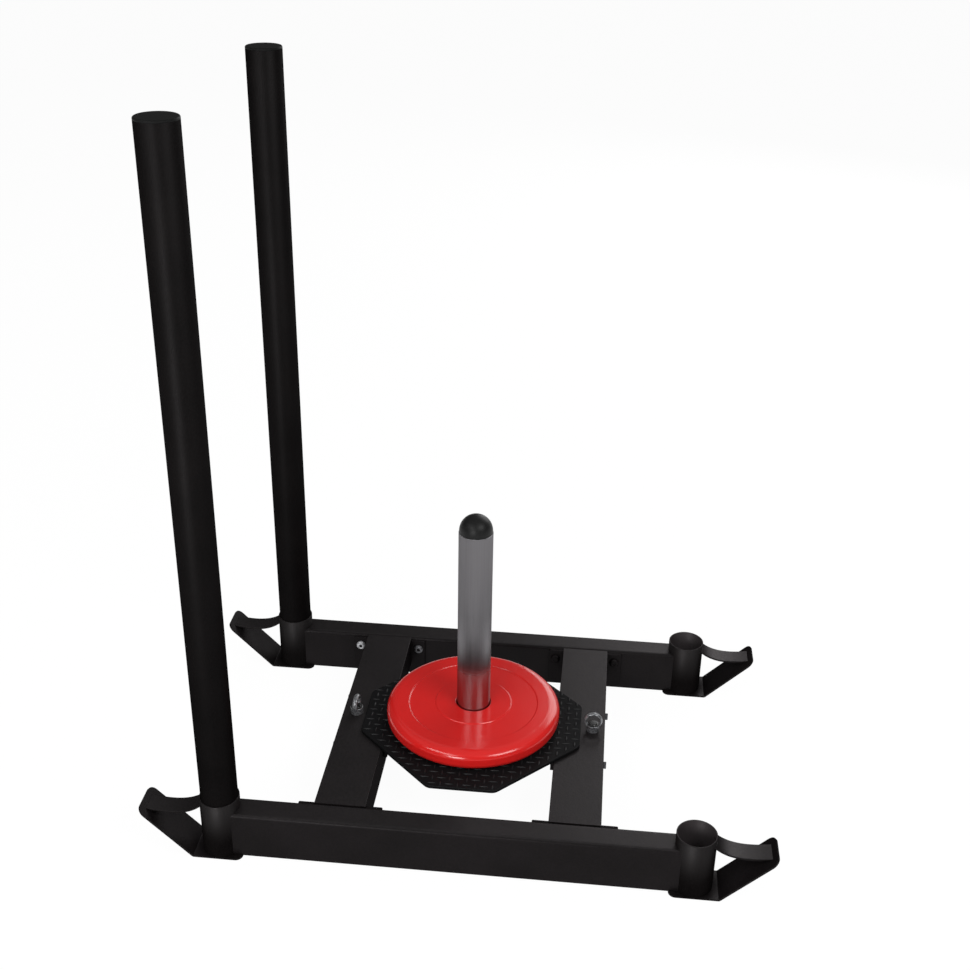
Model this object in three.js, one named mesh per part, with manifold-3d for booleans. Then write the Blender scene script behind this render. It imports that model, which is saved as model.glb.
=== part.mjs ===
// Drag sled for conditioning work. Two tube rails stand on bent skid shoes and are joined by two crossbeams
// with bolted end flanges. A tread plate on the beams carries a chromed post with a disc on it, and two push
// poles stand loose in the rear sockets.
// Millimetres, +Z up. +X runs along the rails to the end with the empty sockets, +Y is towards the left rail,
// and the origin is on the floor under the middle of the frame.

import * as THREE from "three";
import { mergeVertices } from "three/addons/utils/BufferGeometryUtils.js";
import Module from "manifold-3d";

const wasm = await Module();
wasm.setup();

// Clearances, and how far a cutting tool reaches past what it cuts
const seatGap = 0.3;
const boreGap = 0.4;
const overrun = 5;

// Facets
const roundSides = 36;
const smallSides = 16;
const wireSides = 8;
const discSides = 44;
const cornerSteps = 2;
const arcSteps = 6;
const bendSteps = 14;

// Places of the main pieces: socket centres along the rails, rail and beam centre lines
const socketX = 330.85;
const railY = 235.5;
const beamX = 165;

// Side rails, rectangular tube
const railWidth = 40;
const railHeight = 73.5;
const railWall = 3;
const railCorner = 5.5;

// Poles, loose in the rear sockets, each closed by a push-in cap
const poleRadius = 26;
const poleWall = 2.5;
const poleLength = 1021.2;
const poleCapHeight = 3;
const poleCapEdge = 2;
const poleCapPlug = 16;

// Sockets
const socketWall = 1.7;
const socketHeight = 88;

// Skid shoes: the flat runs from the heel to the bend, then the ramp rises to the tip
const shoeWidth = 57;
const shoeThickness = 3;
const shoeHeel = 33;
const shoeBend = 37;
const shoeBendRadius = 5;
const shoeHeelCorner = 10;
const rampLength = 104.8;
const rampAngle = Math.PI / 4;
const rampCorner = 12;

// Straps from the socket wall over to the ramp, above the open tow loops
const strapWidth = 30;
const strapThickness = 3;
const strapDrop = 11;
const strapInset = 8.8;
const strapRootAngle = THREE.MathUtils.degToRad(37);
const strapTipAngle = THREE.MathUtils.degToRad(9.7);
const strapHandleShares = [0.23, 0.55];

// Crossbeams, rectangular tube flush with the rails' top
const beamWidth = 73.5;
const beamHeight = 50;
const beamWall = 3;
const beamCorner = 5.5;

// Flanges round the ends of the beams, with one button-head bolt in each ear
const flangeWidth = 120;
const flangeHeight = 60;
const flangeThickness = 5;
const flangeCorner = 2;
const flangeDrop = 3;
const flangeBoltInset = 10.5;
const flangeBoltDrop = 14;
const boltRadius = 4;
const boltReach = 12;
const boltHeadRadius = 7.25;
const boltHeadHeight = 4.4;
const boltHeadRim = 1.2;
const boltSocketRadius = 2.9;
const boltSocketDepth = 2.6;

// Tread plate, an octagon that ends on the beams' centre lines
const treadThickness = 5.8;
const treadReachY = 162.5;
const treadChamfer = 111;
const treadCorner = 11;

// Carriage under the tread plate: angles on the beams' inner sides, a spine between them, through bolts
const angleLeg = 30;
const angleThickness = 5;
const angleLength = 150;
const angleFillet = 4;
const spineWidth = 60;
const spineHeight = 40;
const spineWall = 3;
const spineCorner = 5.5;
const throughBoltY = 60;
const throughBoltDrop = 18.5;
const throughBoltRadius = 3;
const throughBoltHead = 5.6;
const throughBoltHeadHeight = 4;
const throughBoltProud = 2.5;
const nutHeight = 5;

// Weight post and its domed cap
const postRadius = 25;
const postWall = 3;
const postStand = 325.4;
const postChamfer = 0.7;
const domeRadius = 24.3;
const domeSkirt = 2;
const domePlug = 20;

// Disc
const discRadius = 131.3;
const discThickness = 31;
const discEdge = 13;
const discBore = 26.2;
const discBoreChamfer = 1.3;
const discRingShares = [0.298, 0.678];
const discRingWidth = 3;
const discRingRise = 0.9;

// Lifting eyes on the beams: a collar on a shank, and a ring turned as it was screwed in
const eyeRingRadius = 12.1;
const eyeWireRadius = 2.4;
const eyeRingHeight = 21;
const eyeCollarRadius = 10;
const eyeCollarHeight = 11;
const eyeCollarEdge = 1.3;
const eyeNeckRadius = 5.5;
const eyeNeckHeight = 12.5;
const eyeShankRadius = 5;
const eyeShankReach = 14;
const eyeTurnFront = THREE.MathUtils.degToRad(2);
const eyeTurnRear = THREE.MathUtils.degToRad(78);

// Heights that follow from the sizes above
const shoeSeat = shoeThickness + seatGap;
const rimHeight = shoeSeat + socketHeight;
const treadSeat = railHeight + seatGap;
const treadTop = treadSeat + treadThickness;
const spineTop = railHeight - angleThickness - seatGap;
const postFoot = spineTop + seatGap;
const postTop = treadTop + postStand;
const socketRadius = poleRadius + boreGap + socketWall;

// Across the sled: the inner side of the rail, then the flange and the beam end that stand against it
const railInnerY = railY - railWidth / 2;
const flangeInnerY = railInnerY - seatGap - flangeThickness;
const beamEndY = railInnerY - seatGap;
const flangeBoltX = flangeWidth / 2 - flangeBoltInset;
const flangeBoltZ = railHeight - flangeDrop - flangeBoltDrop;

// Finishes
const finish = (color, roughness, metalness) =>
  new THREE.MeshStandardMaterial({ color, roughness, metalness });
const blackCoat = finish(0x242424, 0.55, 0.1);
const treadCoat = finish(0x1a1a1a, 0.5, 0.1);
const chromePlate = finish(0xb8bcc0, 0.12, 1);
const zincPlate = finish(0xa9adb0, 0.35, 1);
const redEnamel = finish(0xc81414, 0.22, 0);
const blackPlastic = finish(0x161616, 0.4, 0);

// Joins and cuts

// A closed geometry as a solid.
function solidOf(geometry) {
  const plain = geometry.index ? geometry.toNonIndexed() : geometry.clone();
  plain.deleteAttribute("normal");
  plain.deleteAttribute("uv");
  const merged = mergeVertices(plain);
  return new wasm.Manifold(
    new wasm.Mesh({
      numProp: 3,
      vertProperties: merged.attributes.position.array,
      triVerts: Uint32Array.from(merged.index.array),
    }),
  );
}

// A solid as a geometry with flat-shaded faces.
function geometryOf(solid) {
  const { numProp, vertProperties, triVerts } = solid.getMesh();
  const places = Array.from(triVerts, (v) => [0, 1, 2].map((k) => vertProperties[v * numProp + k]));
  const geometry = new THREE.BufferGeometry();
  geometry.setAttribute("position", new THREE.Float32BufferAttribute(places.flat(), 3));
  geometry.computeVertexNormals();
  return geometry;
}

const cut = (body, tools) =>
  geometryOf(tools.reduce((solid, tool) => solid.subtract(solidOf(tool)), solidOf(body)));
const join = (first, ...others) =>
  geometryOf(others.reduce((solid, other) => solid.add(solidOf(other)), solidOf(first)));
const common = (first, ...others) =>
  geometryOf(others.reduce((solid, other) => solid.intersect(solidOf(other)), solidOf(first)));

// Outlines and simple bodies

// The outline through [x, y, radius] corners, each rounded by an arc of its radius.
function roundedOutline(corners, Kind = THREE.Shape) {
  const outline = new Kind();
  corners.forEach(([x, y, radius], i) => {
    const corner = new THREE.Vector2(x, y);
    const [lastX, lastY] = corners.at(i - 1);
    const [nextX, nextY] = corners[(i + 1) % corners.length];
    const back = new THREE.Vector2(lastX, lastY).sub(corner).normalize();
    const ahead = new THREE.Vector2(nextX, nextY).sub(corner).normalize();
    const half = Math.acos(THREE.MathUtils.clamp(back.dot(ahead), -1, 1)) / 2;
    const start = back.clone().multiplyScalar(radius / Math.tan(half)).add(corner);
    if (i) outline.lineTo(start.x, start.y);
    else outline.moveTo(start.x, start.y);
    if (radius) {
      const centre = back.clone().add(ahead).setLength(radius / Math.sin(half)).add(corner);
      const end = ahead.clone().multiplyScalar(radius / Math.tan(half)).add(corner);
      const from = start.sub(centre).angle();
      const to = end.sub(centre).angle();
      outline.absarc(centre.x, centre.y, radius, from, to, back.cross(ahead) > 0);
    }
  });
  outline.closePath();
  return outline;
}

// The four corners of a rectangle about the origin.
function rectangle(width, height, radius) {
  const [x, y] = [width / 2, height / 2];
  return [
    [x, y, radius],
    [-x, y, radius],
    [-x, -y, radius],
    [x, -y, radius],
  ];
}

// The section of a rectangular tube.
function tubeSection(width, height, wall, radius) {
  const section = roundedOutline(rectangle(width, height, radius));
  const inner = rectangle(width - 2 * wall, height - 2 * wall, Math.max(radius - wall, 0));
  section.holes.push(roundedOutline(inner, THREE.Path));
  return section;
}

// An outline extruded along Z, centred on the origin.
function extruded(outline, length) {
  const settings = { depth: length, bevelEnabled: false, curveSegments: cornerSteps };
  return new THREE.ExtrudeGeometry(outline, settings).translate(0, 0, -length / 2);
}

// Turns of a body drawn in XY and extruded along Z: its outline into YZ or into XZ.
const xAxis = new THREE.Vector3(1, 0, 0);
const yAxis = new THREE.Vector3(0, 1, 0);
const zAxis = new THREE.Vector3(0, 0, 1);
const alongX = (body) => body.applyMatrix4(new THREE.Matrix4().makeBasis(yAxis, zAxis, xAxis));
const alongY = (body) =>
  body.applyMatrix4(new THREE.Matrix4().makeBasis(xAxis, zAxis, yAxis.clone().negate()));

// A box between two values on each axis.
function block([x0, x1], [y0, y1], [z0, z1]) {
  const box = new THREE.BoxGeometry(x1 - x0, y1 - y0, z1 - z0);
  return box.translate((x0 + x1) / 2, (y0 + y1) / 2, (z0 + z1) / 2);
}

// A round or many-sided rod along Z, centred on the origin.
const rod = (radius, length, sides = roundSides) =>
  new THREE.CylinderGeometry(radius, radius, length, sides).rotateX(Math.PI / 2);

// A body turned about Z from [radius, height] points, up along its outside.
const turned = (points, sides = roundSides) =>
  new THREE.LatheGeometry(points.map(([r, z]) => new THREE.Vector2(r, z)), sides).rotateX(Math.PI / 2);

// Points on an arc in a [radius, height] profile, both ends included.
function arcPoints([r, z], radius, from, to, steps) {
  return Array.from({ length: steps + 1 }, (_, i) => {
    const angle = from + ((to - from) * i) / steps;
    return [r + radius * Math.cos(angle), z + radius * Math.sin(angle)];
  });
}

const root = new THREE.Group();
root.name = "drag_sled";

// Adds a named mesh, or a group, to its parent at a place and turn.
function place(parent, child, [x, y, z], turn = [0, 0, 0]) {
  child.position.set(x, y, z);
  child.rotation.set(...turn);
  parent.add(child);
  return child;
}

function named(name, geometry, material) {
  const mesh = new THREE.Mesh(geometry, material);
  mesh.name = name;
  return mesh;
}

// The front end (+X) needs no turn, and the rear end is turned half round about Z.
const ends = [
  { name: "front", sign: 1, turn: [0, 0, 0] },
  { name: "rear", sign: -1, turn: [0, 0, Math.PI] },
];
const sides = [
  { name: "left", sign: 1, turn: [0, 0, 0] },
  { name: "right", sign: -1, turn: [0, 0, Math.PI] },
];

// Rail, standing at z 0, drawn as the left one: both ends are coped to the sockets, the underside is notched
// over the shoes, and the inner wall takes the flange bolts.
function railGeometry() {
  const section = tubeSection(railWidth, railHeight, railWall, railCorner);
  const tube = alongX(extruded(section, 2 * socketX)).translate(0, 0, railHeight / 2);
  const tools = ends.flatMap(({ sign }) => {
    const cope = rod(socketRadius + seatGap, railHeight + 2 * overrun);
    const notch = block(
      [socketX - shoeHeel - seatGap, socketX + overrun],
      [-railWidth / 2 - overrun, railWidth / 2 + overrun],
      [-overrun, shoeSeat],
    );
    return [
      cope.translate(sign * socketX, 0, railHeight / 2),
      notch.rotateZ(sign > 0 ? 0 : Math.PI),
    ];
  });
  const boltHoles = ends.flatMap(({ sign }) =>
    [-flangeBoltX, flangeBoltX].map((x) =>
      alongY(rod(boltRadius + boreGap, 2 * (railWall + overrun), smallSides)).translate(
        sign * beamX + x,
        -railWidth / 2,
        flangeBoltZ,
      ),
    ),
  );
  return cut(tube, [...tools, ...boltHoles]);
}

// Socket: an open tube that stands on the shoe.
function socketGeometry() {
  const bore = socketRadius - socketWall;
  return turned([
    [bore, 0],
    [socketRadius, 0],
    [socketRadius, socketHeight],
    [bore, socketHeight],
    [bore, 0],
  ]);
}

// The ramp's top surface: a point on it at a distance from the bend line's foot, in the shoe's own XZ plane.
function rampTop(distance, rise = 0) {
  const lift = shoeThickness + rise;
  return new THREE.Vector2(
    shoeBend + distance * Math.cos(rampAngle) - lift * Math.sin(rampAngle),
    distance * Math.sin(rampAngle) + lift * Math.cos(rampAngle),
  );
}

// Shoe, with its origin under the socket's centre: a strip bent up at the ramp, with rounded heel and tip.
function shoeGeometry() {
  const bendReach = shoeBendRadius * Math.tan(rampAngle / 2);
  const centreX = shoeBend - bendReach;
  const bendEnd = rampAngle - Math.PI / 2;
  const innerRadius = shoeBendRadius - shoeThickness;
  const profile = new THREE.Shape();
  profile.moveTo(-shoeHeel, 0);
  profile.lineTo(centreX, 0);
  profile.absarc(centreX, shoeBendRadius, shoeBendRadius, -Math.PI / 2, bendEnd, false);
  const tip = rampTop(rampLength, -shoeThickness);
  const tipTop = rampTop(rampLength);
  profile.lineTo(tip.x, tip.y);
  profile.lineTo(tipTop.x, tipTop.y);
  profile.absarc(centreX, shoeBendRadius, innerRadius, bendEnd, -Math.PI / 2, true);
  profile.lineTo(-shoeHeel, shoeThickness);
  profile.closePath();
  const strip = alongY(extruded(profile, shoeWidth));

  const side = shoeWidth / 2;
  const reach = shoeHeel + shoeBend + rampLength;
  const heel = extruded(
    roundedOutline([
      [reach, side, 0],
      [-shoeHeel, side, shoeHeelCorner],
      [-shoeHeel, -side, shoeHeelCorner],
      [reach, -side, 0],
    ]),
    2 * reach,
  );
  const toe = extruded(
    roundedOutline([
      [rampLength, side, rampCorner],
      [-reach, side, 0],
      [-reach, -side, 0],
      [rampLength, -side, rampCorner],
    ]),
    2 * reach,
  );
  return common(strip, heel, toe.rotateY(-rampAngle).translate(shoeBend, 0, 0));
}

// Strap, with its origin on the floor under the socket's centre: a curved strip coped to the socket's wall
// and mitred onto the ramp. The curve is that of its upper face.
function strapGeometry() {
  const wallEnd = new THREE.Vector2(socketRadius, rimHeight - strapDrop);
  const tip = rampTop(rampLength - strapInset);
  const rootWay = new THREE.Vector2(Math.cos(strapRootAngle), -Math.sin(strapRootAngle));
  const tipWay = new THREE.Vector2(Math.cos(strapTipAngle), Math.sin(strapTipAngle));
  const span = wallEnd.distanceTo(tip);
  const [rootShare, tipShare] = strapHandleShares;
  const curve = new THREE.CubicBezierCurve(
    wallEnd,
    wallEnd.clone().addScaledVector(rootWay, rootShare * span),
    tip.clone().addScaledVector(tipWay, -tipShare * span),
    tip,
  );
  const upper = curve.getPoints(bendSteps);
  const ways = upper.map((_, i) => curve.getTangent(i / bendSteps));
  const reach = strapThickness + strapWidth / 2;
  upper.unshift(wallEnd.clone().addScaledVector(ways[0], -reach));
  upper.push(tip.clone().addScaledVector(ways.at(-1), reach));
  ways.unshift(ways[0]);
  ways.push(ways.at(-1));
  const lower = upper.map((p, i) => {
    return new THREE.Vector2(ways[i].y, -ways[i].x).multiplyScalar(strapThickness).add(p);
  });
  const strip = alongY(extruded(new THREE.Shape([...lower, ...upper.reverse()]), strapWidth));

  const cope = rod(socketRadius + seatGap, 2 * rimHeight).translate(0, 0, rimHeight);
  const far = shoeBend + rampLength;
  const underRamp = block([-far, far], [-strapWidth, strapWidth], [-far, 0]).rotateY(-rampAngle);
  const onRamp = rampTop(rampLength, seatGap);
  const keep = block([0, far], [-strapWidth, strapWidth], [0, far]);
  return cut(common(strip, keep), [cope, underRamp.translate(onRamp.x, 0, onRamp.y)]);
}

// Pole tube and its cap: a flange with a rounded edge over a plug that fits the tube.
function poleGeometry() {
  const bore = poleRadius - poleWall;
  const height = poleLength - poleCapHeight - seatGap;
  return turned([
    [bore, 0],
    [poleRadius, 0],
    [poleRadius, height],
    [bore, height],
    [bore, 0],
  ]);
}

function poleCapGeometry() {
  const plug = poleRadius - poleWall - boreGap;
  const edge = [poleRadius - poleCapEdge, poleCapHeight - poleCapEdge];
  return turned([
    [0, -poleCapPlug],
    [plug, -poleCapPlug],
    [plug, 0],
    [poleRadius, 0],
    ...arcPoints(edge, poleCapEdge, 0, Math.PI / 2, arcSteps / 2),
    [0, poleCapHeight],
  ]);
}

const rail = railGeometry();
const socket = socketGeometry();
const shoe = shoeGeometry();
const strap = strapGeometry();
for (const side of sides) {
  place(root, named("rail_" + side.name, rail, blackCoat), [0, side.sign * railY, 0], side.turn);
  for (const end of ends) {
    const tag = end.name + "_" + side.name;
    const corner = place(root, new THREE.Group(), [end.sign * socketX, side.sign * railY, 0], end.turn);
    place(corner, named("socket_" + tag, socket, blackCoat), [0, 0, shoeSeat]);
    place(corner, named("shoe_" + tag, shoe, blackCoat), [0, 0, 0]);
    place(corner, named("strap_" + tag, strap, blackCoat), [0, 0, 0]);
  }
  const pole = place(root, new THREE.Group(), [-socketX, side.sign * railY, shoeSeat]);
  place(pole, named("pole_" + side.name, poleGeometry(), blackCoat), [0, 0, 0]);
  const cap = named("pole_cap_" + side.name, poleCapGeometry(), blackPlastic);
  place(pole, cap, [0, 0, poleLength - poleCapHeight]);
}

// Crossbeam, with its origin on the floor: holes for the lifting eye and for the through bolts.
const eyeX = beamWidth / 4;
const throughBoltZ = railHeight - throughBoltDrop;

function beamGeometry() {
  const section = tubeSection(beamWidth, beamHeight, beamWall, beamCorner);
  const tube = alongY(extruded(section, 2 * beamEndY)).translate(0, 0, railHeight - beamHeight / 2);
  const eyeHole = rod(eyeShankRadius + boreGap, 2 * (beamWall + overrun), smallSides);
  const holes = [-throughBoltY, throughBoltY].map((y) =>
    alongX(rod(throughBoltRadius + boreGap, beamWidth + 2 * overrun, smallSides)).translate(
      0,
      y,
      throughBoltZ,
    ),
  );
  return cut(tube, [eyeHole.translate(eyeX, 0, railHeight), ...holes]);
}

// End flange, centred, upright in XZ: a bolt hole in each ear, and a notch for the beam that runs through it.
function flangeGeometry() {
  const sheet = alongY(
    extruded(roundedOutline(rectangle(flangeWidth, flangeHeight, flangeCorner)), flangeThickness),
  );
  const holes = [-flangeBoltX, flangeBoltX].map((x) =>
    alongY(rod(boltRadius + boreGap, flangeThickness + 2 * overrun, smallSides)).translate(
      x,
      0,
      flangeHeight / 2 - flangeBoltDrop,
    ),
  );
  const slack = 2 * seatGap;
  const around = roundedOutline(rectangle(beamWidth + slack, beamHeight + slack, beamCorner));
  const notch = alongY(extruded(around, flangeThickness + 2 * overrun));
  const beamMiddle = flangeHeight / 2 + flangeDrop - beamHeight / 2;
  return cut(sheet, [notch.translate(0, 0, beamMiddle), ...holes]);
}

// Button-head bolt along Z, its head above z 0 and a hex socket in the crown.
function flangeBoltGeometry() {
  const shankEnd = -(seatGap + flangeThickness + seatGap + railWall + boltReach);
  const crownRise = boltHeadHeight - boltHeadRim;
  const crown = Array.from({ length: arcSteps / 2 }, (_, i) => {
    const angle = (Math.PI / arcSteps) * i;
    return [boltHeadRadius * Math.cos(angle), boltHeadRim + crownRise * Math.sin(angle)];
  });
  const body = turned(
    [
      [0, shankEnd],
      [boltRadius, shankEnd],
      [boltRadius, 0],
      [boltHeadRadius, 0],
      ...crown,
      [0, boltHeadHeight],
    ],
    smallSides,
  );
  const key = rod(boltSocketRadius, 2 * boltSocketDepth, 6);
  return cut(body, [key.translate(0, 0, boltHeadHeight)]);
}

// Lifting eye: a ring in XZ on a necked collar, whose shank goes down through the beam's top wall.
function eyeGeometry() {
  const stem = turned(
    [
      [0, -eyeShankReach],
      [eyeShankRadius, -eyeShankReach],
      [eyeShankRadius, 0],
      [eyeCollarRadius, 0],
      [eyeCollarRadius, eyeCollarHeight - eyeCollarEdge],
      [eyeCollarRadius - eyeCollarEdge, eyeCollarHeight],
      [eyeNeckRadius, eyeNeckHeight],
      [0, eyeNeckHeight],
    ],
    smallSides,
  );
  const ring = new THREE.TorusGeometry(eyeRingRadius, eyeWireRadius, wireSides, roundSides);
  return join(stem, ring.rotateX(Math.PI / 2).translate(0, 0, eyeRingHeight));
}

// Angle along Y, its outer corner at the origin, one leg down the beam and one under the tread plate.
function angleGeometry() {
  const legs = roundedOutline([
    [0, 0, 0],
    [-angleLeg, 0, 0],
    [-angleLeg, -angleThickness, 0],
    [-angleThickness, -angleThickness, angleFillet],
    [-angleThickness, -angleLeg, 0],
    [0, -angleLeg, 0],
  ]);
  const holes = [-throughBoltY, throughBoltY].map((y) =>
    alongX(rod(throughBoltRadius + boreGap, 2 * (angleThickness + overrun), smallSides)).translate(
      0,
      y,
      -throughBoltDrop,
    ),
  );
  return cut(alongY(extruded(legs, angleLength)), holes);
}

// Through bolt along Z, hex head above z 0, long enough for the beam, the angle and the nut.
function throughBoltGeometry() {
  const grip = beamWidth + angleThickness + nutHeight + 4 * seatGap;
  const shankLength = grip + throughBoltProud;
  const shank = rod(throughBoltRadius, shankLength + throughBoltHeadHeight, smallSides);
  const head = rod(throughBoltHead, throughBoltHeadHeight, 6);
  return join(
    shank.translate(0, 0, (throughBoltHeadHeight - shankLength) / 2),
    head.translate(0, 0, throughBoltHeadHeight / 2),
  );
}

const nutGeometry = () =>
  cut(rod(throughBoltHead, nutHeight, 6), [
    rod(throughBoltRadius + seatGap, nutHeight + overrun, smallSides),
  ]);

const beam = beamGeometry();
const flange = flangeGeometry();
const flangeBolt = flangeBoltGeometry();
const eye = eyeGeometry();
const angle = angleGeometry();
const throughBolt = throughBoltGeometry();
const nut = nutGeometry();
const beamInnerX = -beamWidth / 2 - seatGap;
const angleInnerX = beamInnerX - angleThickness - seatGap;
for (const end of ends) {
  const bridge = place(root, new THREE.Group(), [end.sign * beamX, 0, 0], end.turn);
  place(bridge, named("beam_" + end.name, beam, blackCoat), [0, 0, 0]);
  const eyeTurn = end.sign > 0 ? eyeTurnFront : eyeTurnRear;
  const eyePlace = [eyeX, 0, railHeight + seatGap];
  place(bridge, named("eye_bolt_" + end.name, eye, zincPlate), eyePlace, [0, 0, eyeTurn]);
  place(bridge, named("angle_" + end.name, angle, blackCoat), [beamInnerX, 0, railHeight]);

  for (const side of sides) {
    const tag = end.name + "_" + side.name;
    const out = side.sign * end.sign;
    const flangeZ = railHeight - flangeDrop - flangeHeight / 2;
    const flangeY = flangeInnerY + flangeThickness / 2;
    place(bridge, named("flange_" + tag, flange, blackCoat), [0, out * flangeY, flangeZ]);
    [-flangeBoltX, flangeBoltX].forEach((x, i) => {
      const bolt = named("bolt_" + tag + "_" + (i + 1), flangeBolt, end.sign > 0 ? blackCoat : zincPlate);
      const boltPlace = [x, out * (flangeInnerY - seatGap), flangeBoltZ];
      place(bridge, bolt, boltPlace, [(out * Math.PI) / 2, 0, 0]);
    });
    const across = out * throughBoltY;
    const bolt = named("beam_bolt_" + tag, throughBolt, zincPlate);
    place(bridge, bolt, [-beamInnerX, across, throughBoltZ], [0, Math.PI / 2, 0]);
    const nutPlace = [angleInnerX - nutHeight / 2, across, throughBoltZ];
    place(bridge, named("beam_nut_" + tag, nut, zincPlate), nutPlace, [0, Math.PI / 2, 0]);
  }
}

// Tread plate: an octagon with rounded corners and a bore for the post.
function treadGeometry() {
  const [x, y] = [beamX, treadReachY];
  const cornerX = x - treadChamfer;
  const cornerY = y - treadChamfer;
  const outline = [
    [x, cornerY],
    [cornerX, y],
    [-cornerX, y],
    [-x, cornerY],
    [-x, -cornerY],
    [-cornerX, -y],
    [cornerX, -y],
    [x, -cornerY],
  ];
  const sheet = extruded(
    roundedOutline(outline.map(([px, py]) => [px, py, treadCorner])),
    treadThickness,
  );
  return cut(sheet, [rod(postRadius + boreGap, treadThickness + overrun)]);
}

// Spine: the tube under the angles' upper legs that carries the post, its ends clear of their fillets.
function spineGeometry() {
  const length = 2 * (beamX + angleInnerX - angleFillet);
  return alongX(extruded(tubeSection(spineWidth, spineHeight, spineWall, spineCorner), length));
}

// Post: a tube with a chamfered rim.
function postGeometry() {
  const bore = postRadius - postWall;
  const height = postTop - postFoot;
  return turned([
    [bore, 0],
    [postRadius, 0],
    [postRadius, height - postChamfer],
    [postRadius - postChamfer, height],
    [bore, height],
    [bore, 0],
  ]);
}

// Cap: a dome on a short skirt, with a plug that goes down the post.
function domeGeometry() {
  const plug = postRadius - postWall - boreGap;
  return turned([
    [0, -domePlug],
    [plug, -domePlug],
    [plug, 0],
    ...arcPoints([0, domeSkirt], domeRadius, 0, Math.PI / 2, arcSteps).slice(0, -1),
    [0, domeSkirt + domeRadius],
  ]);
}

// Disc: a thick plate with round edges, a chamfered bore and two thin rings on its upper face.
function discGeometry() {
  const top = discThickness;
  const rim = discRadius - discEdge;
  const rings = discRingShares.toReversed().flatMap((share) => {
    const middle = discBore + share * (discRadius - discBore);
    return Array.from({ length: 5 }, (_, i) => {
      const along = (Math.PI * i) / 4;
      return [
        middle + (discRingWidth / 2) * Math.cos(along),
        top + discRingRise * Math.sin(along),
      ];
    });
  });
  return turned(
    [
      [discBore, discBoreChamfer],
      [discBore + discBoreChamfer, 0],
      ...arcPoints([rim, discEdge], discEdge, -Math.PI / 2, 0, arcSteps),
      ...arcPoints([rim, top - discEdge], discEdge, 0, Math.PI / 2, arcSteps),
      ...rings,
      [discBore + discBoreChamfer, top],
      [discBore, top - discBoreChamfer],
      [discBore, discBoreChamfer],
    ],
    discSides,
  );
}

place(root, named("tread_plate", treadGeometry(), treadCoat), [0, 0, treadSeat + treadThickness / 2]);
place(root, named("spine", spineGeometry(), blackCoat), [0, 0, spineTop - spineHeight / 2]);
place(root, named("post", postGeometry(), chromePlate), [0, 0, postFoot]);
place(root, named("post_cap", domeGeometry(), blackPlastic), [0, 0, postTop + seatGap]);
place(root, named("weight_plate", discGeometry(), redEnamel), [0, 0, treadTop + seatGap]);

export default root;
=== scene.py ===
import math

import bpy
import numpy as np
from mathutils import Euler, Matrix, Vector


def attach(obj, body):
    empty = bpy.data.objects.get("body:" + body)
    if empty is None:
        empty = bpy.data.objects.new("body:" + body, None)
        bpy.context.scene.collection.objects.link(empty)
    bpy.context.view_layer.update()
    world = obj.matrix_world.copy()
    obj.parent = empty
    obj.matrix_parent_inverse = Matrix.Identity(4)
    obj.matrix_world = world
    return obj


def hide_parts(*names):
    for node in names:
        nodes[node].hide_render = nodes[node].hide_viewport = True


# Everything is in mm until a mesh is written; X runs along the rails, Y across, Z up.
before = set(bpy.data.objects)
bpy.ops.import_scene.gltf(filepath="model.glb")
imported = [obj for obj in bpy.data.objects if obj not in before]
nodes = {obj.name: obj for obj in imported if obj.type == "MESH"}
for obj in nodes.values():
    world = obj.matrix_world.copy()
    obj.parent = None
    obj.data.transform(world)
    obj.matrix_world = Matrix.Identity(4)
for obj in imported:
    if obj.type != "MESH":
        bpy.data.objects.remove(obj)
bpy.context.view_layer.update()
mm = 0.001
print("frame loaded:", len(nodes), "nodes")


# Camera
camera = {
    "at": (166.37, -1669.29, 1335.38),
    "azimuth": 5.30,
    "elevation": 27.02,
    "roll": 1.06,
    "lens": 49.964,
    "sensor": 36.0,
    "farthest": 200,
}


# Azimuth turns the view from +Y towards -X, elevation tips it down, and roll turns the picture
def makeCamera(c):
    az, el, roll = (math.radians(c[k]) for k in ("azimuth", "elevation", "roll"))
    ahead = Vector((-math.sin(az) * math.cos(el), math.cos(az) * math.cos(el), -math.sin(el)))
    level = Vector((math.cos(az), math.sin(az), 0))
    over = level.cross(ahead)
    right = level * math.cos(roll) + over * math.sin(roll)
    up = over * math.cos(roll) - level * math.sin(roll)
    data = bpy.data.cameras.new("studioCamera")
    data.lens = c["lens"]
    data.sensor_width = c["sensor"]
    data.clip_end = c["farthest"]
    made = bpy.data.objects.new("studioCamera", data)
    turn = Matrix((right, up, -ahead)).transposed().to_4x4()
    made.matrix_world = Matrix.Translation(Vector(c["at"]) * mm) @ turn
    bpy.context.scene.collection.objects.link(made)
    bpy.context.scene.camera = made


makeCamera(camera)
print("camera placed")


# Finishes
# A hex colour as Blender's linear values
def tone(hexText):
    c = np.array([int(hexText[i:i + 2], 16) for i in (1, 3, 5)]) / 255
    linear = np.where(c <= 0.04045, c / 12.92, ((c + 0.055) / 1.055) ** 2.4)
    return (*linear.tolist(), 1.0)


# One node with its inputs and settings. An input is a value, the socket that feeds it, or a node, whose first
# live output then feeds it. A colour mix takes its share as input 0 and its two colours as 6 and 7.
def addNode(tree, kind, inputs=None, **settings):
    node = tree.nodes.new(kind)
    for key, value in settings.items():
        setattr(node, key, value)
    for key, value in (inputs or {}).items():
        if isinstance(value, bpy.types.Node):
            value = next(output for output in value.outputs if output.enabled)
        if isinstance(value, bpy.types.NodeSocket):
            tree.links.new(value, node.inputs[key])
        else:
            node.inputs[key].default_value = value
    return node


# A material whose surface a function draws on its empty tree
def makeMaterial(name, draw, p):
    made = bpy.data.materials.new(name)
    made.use_nodes = True
    made.node_tree.nodes.clear()
    addNode(made.node_tree, "ShaderNodeOutputMaterial", {"Surface": draw(made.node_tree, p)})
    return made


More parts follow.
